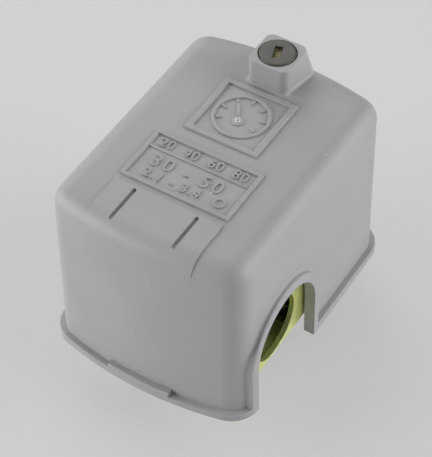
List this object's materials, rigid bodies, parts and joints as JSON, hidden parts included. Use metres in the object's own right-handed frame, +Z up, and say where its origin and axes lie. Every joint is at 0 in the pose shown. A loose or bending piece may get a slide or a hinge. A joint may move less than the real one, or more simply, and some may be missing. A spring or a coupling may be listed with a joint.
{
  "type": "pressure switch",
  "caption": "Pump pressure switch: moulded cover with side conduit notches over a plated steel frame, spring-loaded lever, contact block and diaphragm housing with a threaded inlet.",
  "frame": {"origin": "centre of the threaded inlet's mouth, on the inlet hub's lower face", "axes": "+Z up along the inlet, X through both conduit holes, +Y from the wiring end to the spring end"},
  "size_m": [0.0708, 0.0958, 0.0887],
  "materials": {
    "grey_nylon": "fine satin moulded nylon",
    "brown_nylon": "dark grey-brown moulded nylon",
    "yellow_zinc_steel": "pressed steel, yellow chromate on zinc",
    "die_cast_zinc": "die-cast, lightly grained",
    "bright_zinc_screws": "bright zinc",
    "bright_zinc_cap": "bright zinc pressing",
    "black_rubber": "nitrile sheet",
    "machined_aluminium": "turned",
    "ground_steel": "ground pin",
    "spring_steel": "drawn spring wire",
    "black_phenolic": "moulded phenolic",
    "silver_contact": "silver alloy",
    "copper_bridge": "copper alloy",
    "terminal_brass": "rolled brass",
    "green_ground_screws": "green chromate"
  },
  "bodies": {
    "frame": {"base_frame": "yellow_zinc_steel", "diaphragm_housing": "die_cast_zinc", "housing_screws": "bright_zinc_screws", "diaphragm": "black_rubber", "pivot_bracket": "yellow_zinc_steel", "bracket_rivets": "bright_zinc_screws", "pivot_pin": "ground_steel", "pivot_clips": "spring_steel", "range_stud": "bright_zinc_screws", "differential_stud": "bright_zinc_screws", "stud_locknuts": "bright_zinc_screws", "contact_block": "black_phenolic", "block_screws": "bright_zinc_screws", "clamp_plates": "bright_zinc_cap", "terminal_screws": "bright_zinc_screws", "fixed_contacts": "silver_contact", "carrier_pin": "ground_steel", "ground_screws": "green_ground_screws", "range_spring": "spring_steel", "differential_spring": "spring_steel", "snap_spring": "spring_steel", "terminal_strip_1": "terminal_brass", "terminal_strip_2": "terminal_brass", "terminal_strip_3": "terminal_brass", "terminal_strip_4": "terminal_brass"},
    "cover": {"cover": "grey_nylon"},
    "cover_nut": {"cover_nut": "brown_nylon"},
    "lever": {"main_lever": "yellow_zinc_steel"},
    "piston": {"pressure_piston": "machined_aluminium"},
    "carrier": {"contact_carrier": "black_phenolic", "contact_bridges": "copper_bridge", "overtravel_springs": "spring_steel"},
    "range_cap": {"range_spring_cap": "bright_zinc_cap"},
    "range_nut": {"range_nut": "bright_zinc_screws"},
    "differential_cap": {"differential_spring_cap": "bright_zinc_cap"},
    "differential_nut": {"differential_nut": "bright_zinc_screws"}
  },
  "joints": [
    {"name": "cover_lift", "type": "slide", "parent": "frame", "child": "cover", "axis": [0, 0, 1], "range_m": [0, 0.075]},
    {"name": "cover_nut_turn", "type": "hinge", "parent": "cover", "child": "cover_nut", "pos_m": [0, 0.0332, 0.088], "axis": [0, 0, 1], "continuous": true},
    {"name": "lever_pivot", "type": "hinge", "parent": "frame", "child": "lever", "pos_m": [0, -0.019, 0.0285], "axis": [1, 0, 0], "range_deg": [0, 3.5], "stiffness_Nm_per_rad": 2, "springref_deg": -2.86, "deforming": ["range_spring", "differential_spring", "snap_spring", "diaphragm"]},
    {"name": "piston_slide", "type": "slide", "parent": "frame", "child": "piston", "axis": [0, 0, 1], "range_m": [0, 0.0012]},
    {"name": "carrier_pivot", "type": "hinge", "parent": "frame", "child": "carrier", "pos_m": [0, 0.02115, 0.0335], "axis": [1, 0, 0], "range_deg": [-7, 0]},
    {"name": "range_cap_slide", "type": "slide", "parent": "frame", "child": "range_cap", "axis": [0, 0, 1], "range_m": [-0.00254, 0.00254]},
    {"name": "range_nut_turn", "type": "hinge", "parent": "range_cap", "child": "range_nut", "pos_m": [0, 0.0332, 0.062], "axis": [0, 0, 1], "range_deg": [-720, 720]},
    {"name": "differential_cap_slide", "type": "slide", "parent": "frame", "child": "differential_cap", "axis": [0, 0, 1], "range_m": [-0.00212, 0.00212]},
    {"name": "differential_nut_turn", "type": "hinge", "parent": "differential_cap", "child": "differential_nut", "pos_m": [0.0174, 0.0332, 0.0512], "axis": [0, 0, 1], "range_deg": [-720, 720]}
  ],
  "couplings": [
    {"joint": "piston_slide", "follows": "lever_pivot", "m_per_rad": 0.019},
    {"joint": "carrier_pivot", "follows": "lever_pivot", "ratio": -2},
    {"joint": "range_nut_turn", "follows": "range_cap_slide", "rad_per_m": 4947.4},
    {"joint": "differential_nut_turn", "follows": "differential_cap_slide", "rad_per_m": 5938.7}
  ]
}
